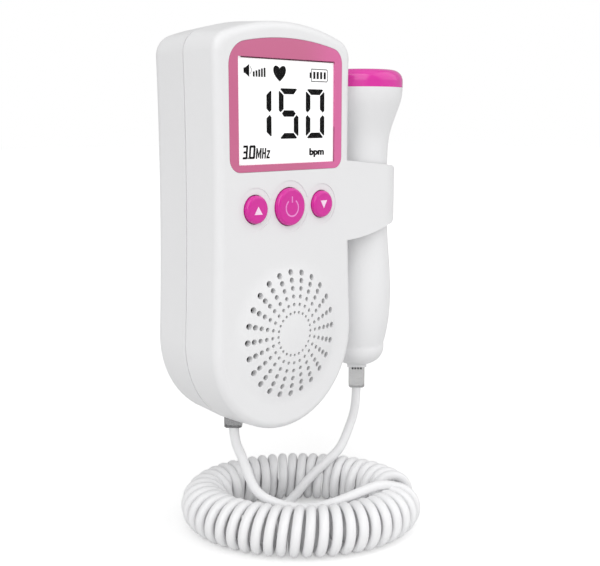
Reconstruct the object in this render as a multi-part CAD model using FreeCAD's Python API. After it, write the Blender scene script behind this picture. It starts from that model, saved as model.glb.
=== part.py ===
"""Hand-held fetal doppler monitor: a battery powered body with a display, three buttons and a
loudspeaker, a probe that clips to its side, and a curly cord that joins the two.

Millimetres, +Z up, the display faces -Y.  The origin lies on the flat back of the body, on its
centre line, above the battery door.
"""

import FreeCAD
import Part

import math
import os

V = FreeCAD.Vector
ALONG_X, ALONG_Y, ALONG_Z = V(1, 0, 0), V(0, 1, 0), V(0, 0, 1)

# ---------------------------------------------------------------- driving dimensions, body
DEPTH = 33.5            # front plane to back plane
HEIGHT = 134.5          # lowest to highest point of the body, at the parting line
ORIGIN_HEIGHT = 100.0   # the origin's height above the body's lowest point
SEAM = 15.0             # depth of the parting line between the two shells
TAPER = 1.0             # how far the outline draws in from the seam to the front and the back
WALL = 2.2
SHOULDER_RADIUS = 7.5
SHOULDER_X = 22.4       # centres of the shoulder arcs
CROWN_RADIUS = 75.0     # shallow arch of the top
SIDE_RADIUS = 1230.0    # slightly hollow sides
WAIST_HEIGHT = 100.0    # where the sides stand closest
FRONT_ROUNDING = 2.8
BACK_ROUNDING = 5.0
GROOVE = 0.4            # shadow line along the seam
LIP = 1.2               # height of the tongue that locates the shells

# display
LENS_HALF_WIDTH = 24.2
LENS_BOTTOM = 87.4
LENS_TOP = 128.4
LENS_CROWN_RADIUS = 96.0
LENS_LEFT_CORNERS = (7.6, 4.2)           # radii, upper and lower
LENS_RIGHT_CORNERS = (4.8, 3.5)
LENS_THICKNESS = 0.6
LENS_GAP = 0.05         # glue behind the lens
WINDOW = (-20.9, 20.3, 89.7, 122.1)      # clear part of the lens: left, right, low, high
GLASS_THICKNESS = 1.8

# buttons: name, centre x, radius
BUTTON_HEIGHT = 75.7
BUTTONS = (("up_button", -14.25, 4.45), ("power_button", 0.25, 6.1), ("down_button", 14.75, 4.45))
BUTTON_PROUD = 1.4
BUTTON_ROUNDING = 1.0
BUTTON_GAP = 0.25
BUTTON_TRAVEL = 0.5
FLANGE_GAP = 0.3        # between a button's flange and the front wall
PAD_MARGIN = 2.4        # shallow recess round the three buttons
PAD_DEPTH = 0.2

# loudspeaker and its grille
SPEAKER_HEIGHT = 33.9
DOME_RADIUS = 85.0
DOME_RISE = 3.07
DOME_BLEND = 18.0       # concave blend from the dome to the flat front
DOME_WALL = 2.0
SPOKES = 24
GRILLE_RINGS = 6
GRILLE_FIRST = 7.2                       # radius of the innermost ring of holes
GRILLE_WIDTH, GRILLE_HEIGHT = 19.0, 20.6  # half sizes of the oval outermost ring
GRILLE_SHIFT = (0.25, -0.3)              # the outermost ring's centre from the speaker's
HOLE_FIRST, HOLE_LAST = 0.5, 1.05        # radii of the holes in those rings
HOLE_SIDES = 8
SPEAKER_RADIUS = 21.2

# main board
BOARD_DEPTH = 8.1
BOARD_THICKNESS = 1.2
BOARD = (-22.0, 22.0, 58.5, 125.0)
SWITCH_SIDE, SWITCH_HEIGHT = 6.0, 3.4

# battery bay and its door
CELL_RADIUS, CELL_LENGTH = 7.15, 49.2
BAY_HALF_WIDTH = 15.3
BAY_LOW, BAY_HIGH = 18.3, 74.0
BAY_FLOOR = 16.2
BAY_WALL = 1.2
DOOR_THICKNESS = 2.0
DOOR_GAP = 0.3
DOOR_PIVOT_DEPTH = DEPTH - 1.5
DOOR_PIVOT_HEIGHT = 19.0
DOOR_SWEEP = 2.2        # room round the pivot for the door's lower edge
PIVOT_RADIUS = 0.8

# housing screws, driven in from the back
SCREWS = ((-25.0, 118.0), (25.0, 118.0), (-21.5, 19.5), (21.5, 19.5))
SCREW_RADIUS, SCREW_HEAD_RADIUS = 0.95, 2.0
SCREW_SEAT = 20.5       # depth of the face under the screw's head
SCREW_LENGTH = 11.0
BOSS_RADIUS, POST_RADIUS = 2.7, 3.1       # in the front and rear shell

# probe and the clip that holds it
PROBE_X, PROBE_DEPTH = 47.5, 13.2        # the probe's axis
PROBE_LOW = 12.6                         # lower end of the handle
CAP_LOW, CAP_HIGH = 114.7, 120.9
HEAD_RADIUS = 15.4
CAP_ROUNDING = 4.0
PROBE_WALL = 1.8
CLIP_INNER, CLIP_OUTER = 11.15, 12.6      # the hook's arcs; the outer one touches the front plane
CLIP_SHIFT = 0.15                        # the outer arc's centre is this much nearer the body
CLIP_ROOT_X = 26.3
CLIP_TONGUE_X = 49.6                     # centre of the tongue's round end
CLIP_TONGUE_RADIUS = 10.7
CLIP_HEIGHT = 76.7
CLIP_ROOT_LOW, CLIP_ROOT_HIGH = 62.2, 89.8
CLIP_SAG = 1.0                           # bulge of the tongue's lower edge
CLIP_TIP_DEPTH = 17.0

# cord, plugs and sockets
PLUG_WIDTH, PLUG_THICKNESS, PLUG_LENGTH = 6.0, 5.0, 13.5
PLUG_GAP = 0.15
CONTACT_LOW = 7.4                        # lower end of the contacts, above the plug's
PLUG_TURN = 45.0                         # the plugs' contacts face forwards and to the left
BODY_PLUG_X, BODY_PLUG_DEPTH, BODY_PLUG_LOW = -12.0, 15.0, 0.3
PROBE_PLUG_LOW = 2.25
SOCKET_RADIUS = 5.0                      # round nose of the body's socket
SOCKET_RIM, SOCKET_RIM_HEIGHT = 0.5, 1.9  # rim of the probe's socket, below the handle's foot
EARPHONE_X, EARPHONE_DEPTH = 12.0, 15.0
EARPHONE_RADIUS, EARPHONE_LENGTH = 1.8, 12.0
EARPHONE_MOUTH = 3.9
CORD = 3.4              # diameter of the cord
COIL_RADIUS = 8.6       # outer radius of the curly part
RING_X, RING_DEPTH = 12.45, 7.3          # centre of the ring in which the curly part lies
RING_HALF_WIDTH, RING_HALF_DEPTH = 34.5, 23.5
RING_TURN = -43.6       # the ring's long axis, turned about Z
RING_HEIGHT = -32.15    # the ring's centre line, below the body's lowest point
RING_START, RING_END = -12.0, -350.0     # degrees round the ring
RING_POINTS = 18


def at(x, depth, height):
    """A place, from its depth behind the front plane and height above the body's lowest point."""
    return V(x, depth - DEPTH, height - ORIGIN_HEIGHT)


# The body's end of the cord: from the plug, down, through the ring and up over its right end.
BODY_LEAD = [
    at(-12.0, 15.0, 0.3),
    at(-12.0, 15.0, -5.0),
    at(-10.9, 14.3, -10.7),
    at(-9.0, 12.5, -16.6),
    at(-6.0, 9.0, -22.3),
    at(-1.3, 3.2, -26.0),
    at(5.3, -4.3, -26.9),
    at(12.4, -10.6, -24.9),
    at(20.2, -14.9, -22.7),
    at(28.4, -17.4, -21.7),
    at(36.1, -19.7, -25.8),
]

# The probe's end: out of the coil low down, round the floor inside the ring, then up to the plug.
PROBE_LEAD = [
    at(40.2, -12.2, -39.0),
    at(32.8, -10.6, -39.0),
    at(25.2, -9.7, -39.0),
    at(17.6, -10.3, -39.0),
    at(10.2, -8.2, -39.0),
    at(3.8, -2.8, -39.0),
    at(0.7, 5.2, -39.0),
    at(2.4, 13.7, -38.8),
    at(8.3, 19.5, -37.3),
    at(16.7, 20.2, -33.6),
    at(22.9, 16.6, -27.3),
    at(29.0, 13.0, -22.2),
    at(36.0, 11.6, -18.6),
    at(42.9, 12.9, -13.9),
    at(47.5, 13.2, -6.2),
    at(47.5, 13.2, 2.25),
]


# ---------------------------------------------------------------- helpers
def box(x, depth, height):
    """A box between two x values, two depths and two heights."""
    return Part.makeBox(x[1] - x[0], depth[1] - depth[0], height[1] - height[0],
                        at(x[0], depth[0], height[0]))


def rod(radius, x, depth, height):
    """A cylinder along the depth, between two depths."""
    return Part.makeCylinder(radius, depth[1] - depth[0], at(x, depth[0], height), ALONG_Y)


def upright(radius, x, depth, height):
    """A cylinder along the height, between two heights."""
    return Part.makeCylinder(radius, height[1] - height[0], at(x, depth, height[0]), ALONG_Z)


def fuse(*shapes):
    return shapes[0].multiFuse(list(shapes[1:])).removeSplitter()


def fillet(shape, radius, chosen):
    """Rounds the edges for which chosen(bounding box) is true."""
    return shape.makeFillet(radius, [e for e in shape.Edges if chosen(e.BoundBox)])


def on_depth(depth):
    """Picks the edges that lie wholly at one depth."""
    place = depth - DEPTH
    return lambda b: abs(b.YMin - place) < 1e-3 and abs(b.YMax - place) < 1e-3


# ---------------------------------------------------------------- outlines
def body_outline(depth, inset=0.0):
    """Front view of the body as a face: round bottom, slightly hollow sides, arched top."""
    crown_centre = HEIGHT - CROWN_RADIUS
    reach = CROWN_RADIUS - SHOULDER_RADIUS
    shoulder_height = crown_centre + math.sqrt(reach**2 - SHOULDER_X**2)
    away = SIDE_RADIUS + SHOULDER_RADIUS
    side_x = SHOULDER_X + math.sqrt(away**2 - (shoulder_height - WAIST_HEIGHT)**2)
    bottom_radius = ((side_x**2 + WAIST_HEIGHT**2 - SIDE_RADIUS**2)
                     / (2 * (SIDE_RADIUS + WAIST_HEIGHT)))
    crown = (SHOULDER_X / reach, (shoulder_height - crown_centre) / reach)
    side = ((side_x - SHOULDER_X) / away, (WAIST_HEIGHT - shoulder_height) / away)
    foot = (side_x / (SIDE_RADIUS + bottom_radius),
            (WAIST_HEIGHT - bottom_radius) / (SIDE_RADIUS + bottom_radius))
    middle = (side[0] + crown[0], side[1] + crown[1])
    length = math.hypot(*middle)
    middle = (middle[0] / length, middle[1] / length)
    shoulder = SHOULDER_RADIUS - inset
    bottom = bottom_radius - inset

    def shoulder_point(direction, sign):
        return at(sign * (SHOULDER_X + shoulder * direction[0]), depth,
                  shoulder_height + shoulder * direction[1])

    def bottom_point(sign):
        return at(sign * bottom * foot[0], depth, bottom_radius + bottom * foot[1])

    def waist_point(sign):
        return at(sign * (side_x - SIDE_RADIUS - inset), depth, WAIST_HEIGHT)

    edges = [
        Part.Arc(bottom_point(1), at(0, depth, inset), bottom_point(-1)),
        Part.Arc(bottom_point(-1), waist_point(-1), shoulder_point(side, -1)),
        Part.Arc(shoulder_point(side, -1), shoulder_point(middle, -1), shoulder_point(crown, -1)),
        Part.Arc(shoulder_point(crown, -1), at(0, depth, HEIGHT - inset), shoulder_point(crown, 1)),
        Part.Arc(shoulder_point(crown, 1), shoulder_point(middle, 1), shoulder_point(side, 1)),
        Part.Arc(shoulder_point(side, 1), waist_point(1), bottom_point(1)),
    ]
    return Part.Face(Part.Wire([e.toShape() for e in edges]))


def draft(depth):
    """How far the outline has drawn in at a depth, in front of the parting line or behind it."""
    return TAPER * ((SEAM - depth) / SEAM if depth < SEAM else (depth - SEAM) / (DEPTH - SEAM))


def body_slice(first, last, inset=0.0):
    """The body between two depths, drawn in away from the parting line."""
    ends = [body_outline(depth, inset + draft(depth)).OuterWire for depth in (first, last)]
    return Part.makeLoft(ends, True, True)


def lens_outline(depth, grow=0.0):
    """Front view of the lens: square lower corners, arched top with rounder corners."""
    half = LENS_HALF_WIDTH + grow
    centre = LENS_TOP - LENS_CROWN_RADIUS
    low = LENS_BOTTOM - grow

    def side(sign, top_corner, low_corner):
        corner_x = LENS_HALF_WIDTH - top_corner
        reach = LENS_CROWN_RADIUS - top_corner
        corner_height = centre + math.sqrt(reach**2 - corner_x**2)
        crown = (corner_x / reach, (corner_height - centre) / reach)
        slant = math.atan2(crown[1], crown[0]) / 2
        corner, radius = top_corner + grow, low_corner + grow
        bend = radius * (1 - math.sqrt(0.5))
        return [
            at(sign * (half - radius), depth, low),
            at(sign * (half - bend), depth, low + bend),
            at(sign * half, depth, low + radius),
            at(sign * half, depth, corner_height),
            at(sign * (corner_x + corner * math.cos(slant)), depth,
               corner_height + corner * math.sin(slant)),
            at(sign * (corner_x + corner * crown[0]), depth, corner_height + corner * crown[1]),
        ]

    left = side(-1, *LENS_LEFT_CORNERS)
    right = side(1, *LENS_RIGHT_CORNERS)
    edges = [
        Part.LineSegment(left[0], right[0]),
        Part.Arc(right[0], right[1], right[2]),
        Part.LineSegment(right[2], right[3]),
        Part.Arc(right[3], right[4], right[5]),
        Part.Arc(right[5], at(0, depth, LENS_TOP + grow), left[5]),
        Part.Arc(left[5], left[4], left[3]),
        Part.LineSegment(left[3], left[2]),
        Part.Arc(left[2], left[1], left[0]),
    ]
    return Part.Face(Part.Wire([e.toShape() for e in edges]))


def deepen(face, length):
    return face.extrude(V(0, length, 0))


# ---------------------------------------------------------------- body shells
def grille_dome():
    """The shallow dome over the loudspeaker, turned about the speaker's axis."""
    centre = DOME_RADIUS - DOME_RISE
    foot = math.sqrt(DOME_RISE * (2 * DOME_RADIUS - DOME_RISE + 2 * DOME_BLEND))
    share = DOME_RADIUS / (DOME_RADIUS + DOME_BLEND)
    join = (foot * share, centre - (centre + DOME_BLEND) * share)
    half = math.asin(join[0] / DOME_RADIUS) / 2
    crest = (DOME_RADIUS * math.sin(half), centre - DOME_RADIUS * math.cos(half))
    swing = math.asin((foot - join[0]) / DOME_BLEND) / 2
    hollow = (foot - DOME_BLEND * math.sin(swing), DOME_BLEND * (math.cos(swing) - 1))

    def place(point):
        return at(point[0], point[1], SPEAKER_HEIGHT)

    profile = Part.Wire([
        Part.Arc(place((0, -DOME_RISE)), place(crest), place(join)).toShape(),
        Part.Arc(place(join), place(hollow), place((foot, 0))).toShape(),
        Part.LineSegment(place((foot, 0)), place((foot, WALL))).toShape(),
        Part.LineSegment(place((foot, WALL)), place((0, WALL))).toShape(),
        Part.LineSegment(place((0, WALL)), place((0, -DOME_RISE))).toShape(),
    ])
    return Part.Face(profile).revolve(at(0, 0, SPEAKER_HEIGHT), ALONG_Y, 360)


def dome_hollow():
    centre = at(0, DOME_RADIUS - DOME_RISE, SPEAKER_HEIGHT)
    ball = Part.makeSphere(DOME_RADIUS - DOME_WALL, centre)
    return ball.common(rod(SPEAKER_RADIUS + 3.5, 0, (-DOME_RISE, WALL + 1), SPEAKER_HEIGHT))


def grille_holes():
    """Rings of holes on straight spokes, wider towards the rim."""
    holes = []
    for ring in range(GRILLE_RINGS):
        share = ring / (GRILLE_RINGS - 1)
        half_width = GRILLE_FIRST + (GRILLE_WIDTH - GRILLE_FIRST) * share
        half_height = GRILLE_FIRST + (GRILLE_HEIGHT - GRILLE_FIRST) * share
        radius = HOLE_FIRST + (HOLE_LAST - HOLE_FIRST) * share
        for spoke in range(SPOKES):
            turn = 2 * math.pi * spoke / SPOKES
            x = GRILLE_SHIFT[0] * share + half_width * math.sin(turn)
            height = SPEAKER_HEIGHT + GRILLE_SHIFT[1] * share + half_height * math.cos(turn)
            corners = []
            for side in range(HOLE_SIDES + 1):
                angle = turn + 2 * math.pi * (side + 0.5) / HOLE_SIDES
                corners.append(at(x + radius * math.sin(angle), -DOME_RISE - 1,
                                  height + radius * math.cos(angle)))
            holes.append(deepen(Part.Face(Part.makePolygon(corners)), DOME_RISE + WALL + 2))
    return Part.makeCompound(holes)


def probe_clip():
    """The arm that carries on from the front of the body, across and round the probe's neck."""
    root_x, outer_x = CLIP_ROOT_X, PROBE_X - CLIP_SHIFT
    skin = PROBE_DEPTH - CLIP_INNER
    inner_x = PROBE_X - CLIP_INNER - skin
    diagonal = math.sqrt(0.5)
    low = CLIP_HEIGHT - 16.0

    def plan(x, depth):
        return at(x, depth, low)

    ring = []
    for x, depth, radius in ((outer_x, CLIP_OUTER, CLIP_OUTER), (PROBE_X, PROBE_DEPTH, CLIP_INNER)):
        ring.append((plan(x, depth - radius),
                     plan(x + radius * diagonal, depth - radius * diagonal),
                     plan(x + radius, depth)))
    outer_tip = plan(outer_x + CLIP_OUTER, CLIP_TIP_DEPTH)
    inner_tip = plan(PROBE_X + CLIP_INNER, CLIP_TIP_DEPTH)
    edges = [
        Part.LineSegment(plan(root_x, 0), ring[0][0]),
        Part.Arc(*ring[0]),
        Part.LineSegment(ring[0][2], outer_tip),
        Part.LineSegment(outer_tip, inner_tip),
        Part.LineSegment(inner_tip, ring[1][2]),
        Part.Arc(ring[1][2], ring[1][1], ring[1][0]),
        Part.Arc(ring[1][0], plan(PROBE_X - CLIP_INNER * diagonal,
                                  PROBE_DEPTH - CLIP_INNER * diagonal),
                 plan(PROBE_X - CLIP_INNER, PROBE_DEPTH)),
        Part.LineSegment(plan(PROBE_X - CLIP_INNER, PROBE_DEPTH), plan(PROBE_X - CLIP_INNER, SEAM)),
        Part.LineSegment(plan(PROBE_X - CLIP_INNER, SEAM), plan(inner_x, SEAM)),
        Part.LineSegment(plan(inner_x, SEAM), plan(inner_x, 2 * skin)),
        Part.LineSegment(plan(inner_x, 2 * skin), plan(root_x, 2 * skin)),
        Part.LineSegment(plan(root_x, 2 * skin), plan(root_x, 0)),
    ]
    section = Part.Face(Part.Wire([e.toShape() for e in edges])).extrude(V(0, 0, 32))
    radius, centre_x = CLIP_TONGUE_RADIUS, CLIP_TONGUE_X
    tongue_low = CLIP_HEIGHT - radius
    sag = at((root_x + centre_x) / 2, -1, (CLIP_ROOT_LOW + tongue_low) / 2 - CLIP_SAG)
    reach = [
        Part.LineSegment(at(root_x, -1, CLIP_ROOT_HIGH), at(centre_x, -1, CLIP_HEIGHT + radius)),
        Part.Arc(at(centre_x, -1, CLIP_HEIGHT + radius), at(centre_x + radius, -1, CLIP_HEIGHT),
                 at(centre_x, -1, tongue_low)),
        Part.Arc(at(centre_x, -1, tongue_low), sag, at(root_x, -1, CLIP_ROOT_LOW)),
        Part.LineSegment(at(root_x, -1, CLIP_ROOT_LOW), at(root_x, -1, CLIP_ROOT_HIGH)),
    ]
    outline = Part.Face(Part.Wire([e.toShape() for e in reach]))
    return section.common(deepen(outline, CLIP_TIP_DEPTH + 2))


def socket_opening():
    """The space that the cord socket's nose takes through the bottom of both shells."""
    return upright(SOCKET_RADIUS + 0.1, BODY_PLUG_X, BODY_PLUG_DEPTH, (-1.0, 9.0))


def front_shell():
    outer = fillet(body_slice(0, SEAM - GROOVE), FRONT_ROUNDING, on_depth(0))
    step = deepen(body_outline(SEAM - GROOVE, GROOVE), GROOVE)
    inner = body_slice(WALL, SEAM, WALL)
    tongue = deepen(body_outline(SEAM, WALL / 2 + 0.05), LIP)
    tongue = tongue.cut(deepen(body_outline(SEAM, WALL), LIP))
    shell = fuse(outer, step).cut(inner)
    shell = fuse(shell, tongue, probe_clip(), grille_dome()).cut(dome_hollow())
    rim = rod(SPEAKER_RADIUS + 1.4, 0, (WALL - 0.7, 4.6), SPEAKER_HEIGHT)
    rim = rim.cut(rod(SPEAKER_RADIUS + 0.2, 0, (0, 5), SPEAKER_HEIGHT))
    bosses = [rod(BOSS_RADIUS, x, (WALL - 0.5, SEAM), height) for x, height in SCREWS]
    shell = fuse(shell, rim, *bosses)
    cuts = [rod(SCREW_RADIUS + 0.05, x, (4.0, SEAM + 1), height) for x, height in SCREWS]
    cuts.append(deepen(lens_outline(-1, 0.1), 1 + LENS_THICKNESS + LENS_GAP))
    left, right, low, high = WINDOW
    cuts.append(box((left - 1.2, right + 1.2), (-1, WALL + 1), (low - 1.2, high + 1.2)))
    for _, x, radius in BUTTONS:
        cuts.append(rod(radius + PAD_MARGIN, x, (-1, PAD_DEPTH), BUTTON_HEIGHT))
        cuts.append(rod(radius + BUTTON_GAP, x, (-1, WALL + 1), BUTTON_HEIGHT))
    cuts.append(socket_opening())
    cuts.append(upright(3.0, EARPHONE_X, EARPHONE_DEPTH, (-1, 8)))
    for cut in cuts:
        shell = shell.cut(cut)
    return shell.cut(grille_holes())


def rear_shell():
    outer = fillet(body_slice(SEAM, DEPTH), BACK_ROUNDING, on_depth(DEPTH))
    inner = body_slice(SEAM, DEPTH - WALL, WALL)
    inner = fillet(inner, BACK_ROUNDING - WALL, on_depth(DEPTH - WALL))
    rebate = deepen(body_outline(SEAM, WALL / 2 - 0.05), LIP + 0.1)
    rebate = rebate.cut(deepen(body_outline(SEAM, WALL + 0.1), LIP + 0.1))
    bay = box((-BAY_HALF_WIDTH - BAY_WALL, BAY_HALF_WIDTH + BAY_WALL),
              (BAY_FLOOR - BAY_WALL, DEPTH - 1),
              (BAY_LOW - BAY_WALL, BAY_HIGH + BAY_WALL))
    posts = [rod(POST_RADIUS, x, (SEAM, DEPTH - 1), height) for x, height in SCREWS]
    bearings = box((-BAY_HALF_WIDTH - BAY_WALL - 2.4, BAY_HALF_WIDTH + BAY_WALL + 2.4),
                   (DEPTH - 4.8, DEPTH - 1), (DOOR_PIVOT_HEIGHT - 3.8, DOOR_PIVOT_HEIGHT + 2.6))
    shell = fuse(outer.cut(inner), bay, bearings, *posts).common(outer).cut(rebate)
    shell = shell.cut(box((-BAY_HALF_WIDTH, BAY_HALF_WIDTH), (BAY_FLOOR, DEPTH + 1),
                          (BAY_LOW, BAY_HIGH)))
    door_low = DOOR_PIVOT_HEIGHT - DOOR_SWEEP
    shell = shell.cut(box((-BAY_HALF_WIDTH - BAY_WALL, BAY_HALF_WIDTH + BAY_WALL),
                          (DEPTH - DOOR_THICKNESS, DEPTH + 1), (door_low, BAY_HIGH + BAY_WALL)))
    shell = shell.cut(box((-BAY_HALF_WIDTH - BAY_WALL, BAY_HALF_WIDTH + BAY_WALL),
                          (DOOR_PIVOT_DEPTH - DOOR_SWEEP, DEPTH),
                          (door_low, DOOR_PIVOT_HEIGHT + DOOR_SWEEP)))
    finger = rod(7.0, 0, (DEPTH - 1.2, DEPTH + 1), BAY_HIGH + 4.2)
    shell = shell.cut(finger)
    half = BAY_HALF_WIDTH + BAY_WALL + 1.6
    pivot = Part.makeCylinder(PIVOT_RADIUS + 0.08, 2 * half,
                              at(-half, DOOR_PIVOT_DEPTH, DOOR_PIVOT_HEIGHT), ALONG_X)
    shell = shell.cut(pivot)
    for x, height in SCREWS:
        shell = shell.cut(rod(SCREW_HEAD_RADIUS + 0.3, x, (SCREW_SEAT, DEPTH + 1), height))
        shell = shell.cut(rod(SCREW_RADIUS + 0.2, x, (SEAM - 1, DEPTH), height))
    shell = shell.cut(socket_opening())
    return shell.cut(upright(3.0, EARPHONE_X, EARPHONE_DEPTH, (-1, 8)))


def battery_door():
    """A flush door that tips out on two pins at its lower edge."""
    half = BAY_HALF_WIDTH + BAY_WALL - DOOR_GAP
    low, high = DOOR_PIVOT_HEIGHT - 1.6, BAY_HIGH + BAY_WALL - DOOR_GAP
    door = box((-half, half), (DEPTH - DOOR_THICKNESS, DEPTH), (low, high))
    bottom = low - ORIGIN_HEIGHT
    door = fillet(door, 0.9, lambda b: abs(b.ZMax - bottom) < 1e-3 and b.XMax - b.XMin > half)
    pins = Part.makeCylinder(PIVOT_RADIUS, 2 * half + 2.6,
                             at(-half - 1.3, DOOR_PIVOT_DEPTH, DOOR_PIVOT_HEIGHT), ALONG_X)
    ribs = []
    for x in (-7.5, 7.5):
        ribs.append(box((x - 0.6, x + 0.6), (DEPTH - DOOR_THICKNESS - 0.25, DEPTH - 1), (26, 70)))
    door = fuse(door, pins, *ribs)
    for step in range(5):
        height = high - 8.0 - 2.2 * step
        width = 7.5 - 0.9 * step
        door = door.cut(box((-width, width), (DEPTH - 0.5, DEPTH + 1), (height, height + 1.1)))
    for x in (-5.2, 4.4):
        door = door.cut(box((x, x + 0.8), (DEPTH - 3, DEPTH + 1), (high - 5.5, high + 1)))
    return door


# ---------------------------------------------------------------- battery bay
CELL_DEPTH = BAY_FLOOR + CELL_RADIUS + 0.3
CELLS = (("battery_left", -7.55, True), ("battery_right", 7.55, False))    # name, x, button up


def battery_cell(x, up):
    """One AA cell with its can's rolled edges; its button end points up or down."""
    low = BAY_LOW + (4.0 if up else 2.5)
    cell = upright(CELL_RADIUS, x, CELL_DEPTH, (low, low + CELL_LENGTH))
    cell = cell.makeFillet(0.5, [e for e in cell.Edges if len(e.Vertexes) == 1])
    button = (low + CELL_LENGTH - 0.2, low + CELL_LENGTH + 1.3) if up else (low - 1.3, low + 0.2)
    return fuse(cell, upright(2.7, x, CELL_DEPTH, button))


def contact_springs():
    """Bent leaf springs, one behind the flat end of each cell."""
    leaves = []
    gap, sheet, half = 4.0, 0.3, 3.5
    profile = [(4.0, 0.0), (-4.6, 0.0), (-4.6, 0.9), (0.0, gap), (3.0, gap / 2),
               (3.0, gap / 2 - sheet), (0.0, gap - 1.4 * sheet), (-4.2, 0.9 - 0.6 * sheet),
               (-4.2, sheet), (4.0, sheet)]
    for _, x, up in CELLS:
        wall, side = (BAY_LOW, 1) if up else (BAY_HIGH, -1)
        corners = [at(x - half, CELL_DEPTH + depth, wall + side * reach)
                   for depth, reach in profile]
        leaf = Part.Face(Part.makePolygon(corners + corners[:1]))
        leaves.append(leaf.extrude(V(2 * half, 0, 0)))
    return Part.makeCompound(leaves)


def contact_plates():
    """Flat contacts with a raised dot, one in front of the button of each cell."""
    plates = []
    for _, x, up in CELLS:
        wall, side = (BAY_HIGH, -1) if up else (BAY_LOW, 1)
        heights = sorted((wall, wall + side * 0.3))
        dot = sorted((wall + side * 0.2, wall + side * 1.2))
        plate = box((x - 4, x + 4), (CELL_DEPTH - 4, CELL_DEPTH + 4), heights)
        plates.append(fuse(plate, upright(1.8, x, CELL_DEPTH, dot)))
    return Part.makeCompound(plates)


# ---------------------------------------------------------------- display and board
def display_lens():
    return deepen(lens_outline(0), LENS_THICKNESS)


def display_glass():
    """The liquid crystal glass, which fills the window of the front wall behind the lens."""
    left, right, low, high = WINDOW
    front = LENS_THICKNESS + LENS_GAP
    return box((left - 1.0, right + 1.0), (front, front + GLASS_THICKNESS),
               (low - 1.0, high + 1.0))


def backlight():
    left, right, low, high = WINDOW
    front = LENS_THICKNESS + LENS_GAP + GLASS_THICKNESS
    return box((left - 1.0, right + 1.0), (front, BOARD_DEPTH), (low - 2.2, high + 2.2))


def main_board():
    """The circuit board behind the display and the buttons."""
    left, right, low, high = BOARD
    board = box((left, right), (BOARD_DEPTH, BOARD_DEPTH + BOARD_THICKNESS), (low, high))
    return fillet(board, 2.0, lambda b: b.XMax - b.XMin < 1e-3 and b.ZMax - b.ZMin < 1e-3)


def board_parts():
    """Amplifier and processor packages, a coil and capacitors on the back of the board."""
    back = BOARD_DEPTH + BOARD_THICKNESS
    parts = [
        box((-6, 6), (back, back + 1.6), (94, 106)),
        box((-18, -10), (back, back + 1.5), (96, 101)),
        box((10, 17), (back, back + 1.5), (108, 113)),
        box((-17, -12), (back, back + 3.0), (110, 115)),
    ]
    for x, height in ((14, 98), (14, 90), (-14, 88)):
        parts.append(rod(2.5, x, (back, back + 4.6), height))
    for x in (-20, -16, 16, 20):
        parts.append(box((x - 0.8, x + 0.8), (back, back + 0.8), (80, 83.2)))
    return Part.makeCompound(parts)


def button_switches():
    """Tactile switches under the buttons, each with a well in which the button's stem stands."""
    switches = []
    front = BOARD_DEPTH - SWITCH_HEIGHT
    half = SWITCH_SIDE / 2
    for _, x, _ in BUTTONS:
        body = box((x - half, x + half), (front, BOARD_DEPTH),
                   (BUTTON_HEIGHT - half, BUTTON_HEIGHT + half))
        switches.append(body.cut(rod(1.9, x, (front - 1, front + 1.0), BUTTON_HEIGHT)))
    return Part.makeCompound(switches)


def button(x, radius):
    """A domed cap with a flange behind the front wall and a stem that reaches its switch."""
    cap = rod(radius, x, (-BUTTON_PROUD, WALL + FLANGE_GAP + 0.4), BUTTON_HEIGHT)
    cap = fillet(cap, BUTTON_ROUNDING, on_depth(-BUTTON_PROUD))
    back = WALL + FLANGE_GAP
    flange = rod(radius + 0.9, x, (back, back + 0.8), BUTTON_HEIGHT)
    switch = BOARD_DEPTH - SWITCH_HEIGHT
    stem = rod(1.6, x, (back + 0.5, switch + 1.0 - BUTTON_TRAVEL - 0.1), BUTTON_HEIGHT)
    return fuse(cap, flange, stem)


# ---------------------------------------------------------------- loudspeaker
def ring(outer, inner, depth):
    """A flat ring about the speaker's axis."""
    return rod(outer, 0, depth, SPEAKER_HEIGHT).cut(rod(inner, 0, depth, SPEAKER_HEIGHT))


def turned(points):
    """Turns a closed (radius, depth) outline about the speaker's axis."""
    corners = [at(r, d, SPEAKER_HEIGHT) for r, d in points]
    face = Part.Face(Part.makePolygon(corners + corners[:1]))
    return face.revolve(at(0, 0, SPEAKER_HEIGHT), ALONG_Y, 360)


def speaker_gasket():
    return ring(SPEAKER_RADIUS, SPEAKER_RADIUS - 2.0, (1.75, 2.6))


def speaker_frame():
    """Pressed basket: a flange, a cone shaped wall with windows and a seat for the magnet."""
    edge = SPEAKER_RADIUS
    frame = turned([(edge, 2.6), (edge - 3.2, 2.6), (edge - 3.6, 4.4), (9.4, 7.9), (0.0, 7.9),
                    (0.0, 8.5), (9.8, 8.5), (edge - 3.0, 4.9), (edge - 2.6, 3.3), (edge, 3.3)])
    for window in range(4):
        turn = math.radians(45 + 90 * window)
        x, height = 13.2 * math.sin(turn), SPEAKER_HEIGHT + 13.2 * math.cos(turn)
        frame = frame.cut(rod(2.4, x, (4.5, 9.0), height))
    return frame


def speaker_cone():
    """Paper cone with its surround and dust cap."""
    edge = SPEAKER_RADIUS
    return turned([(edge - 3.5, 2.7), (edge - 4.6, 2.3), (edge - 5.6, 2.9), (6.2, 5.4),
                   (3.4, 4.6), (0.0, 4.3), (0.0, 4.7), (3.2, 5.0), (6.2, 5.9),
                   (edge - 5.4, 3.4), (edge - 4.6, 2.8), (edge - 3.5, 3.1)])


def speaker_magnet():
    return fuse(ring(8.5, 3.0, (8.5, 11.0)), rod(7.6, 0, (11.0, 12.0), SPEAKER_HEIGHT))


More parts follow.
